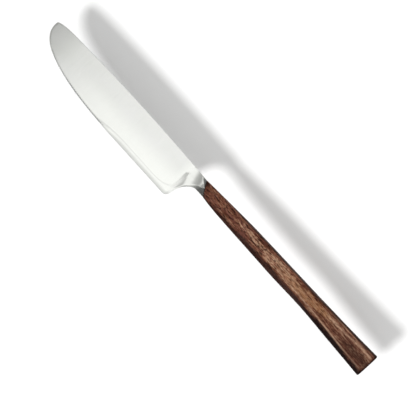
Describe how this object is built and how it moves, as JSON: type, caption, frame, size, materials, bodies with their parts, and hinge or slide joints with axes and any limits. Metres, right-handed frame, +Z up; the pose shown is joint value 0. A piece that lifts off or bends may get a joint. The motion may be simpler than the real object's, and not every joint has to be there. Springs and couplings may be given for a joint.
{
  "type": "table knife",
  "caption": "Table knife lying on its side: satin steel blade with serrated belly, faceted bolster and a tang cemented into a tapering faceted handle of dark wood.",
  "frame": {"origin": "middle of the knife's length and width, on the surface that the knife lies on", "axes": "+X from the tip to the butt along the handle's middle line, +Y towards the spine, +Z up through the side of the blade"},
  "size_m": [0.215, 0.0222, 0.0095],
  "materials": {
    "satin_steel": "satin, finely brushed along the blade",
    "tang_cement": "dull cured cement",
    "oiled_hardwood": "oiled, open-pored, low sheen"
  },
  "bodies": {
    "root": {"blade": "satin_steel", "tang_cement": "tang_cement", "handle": "oiled_hardwood"}
  },
  "joints": []
}
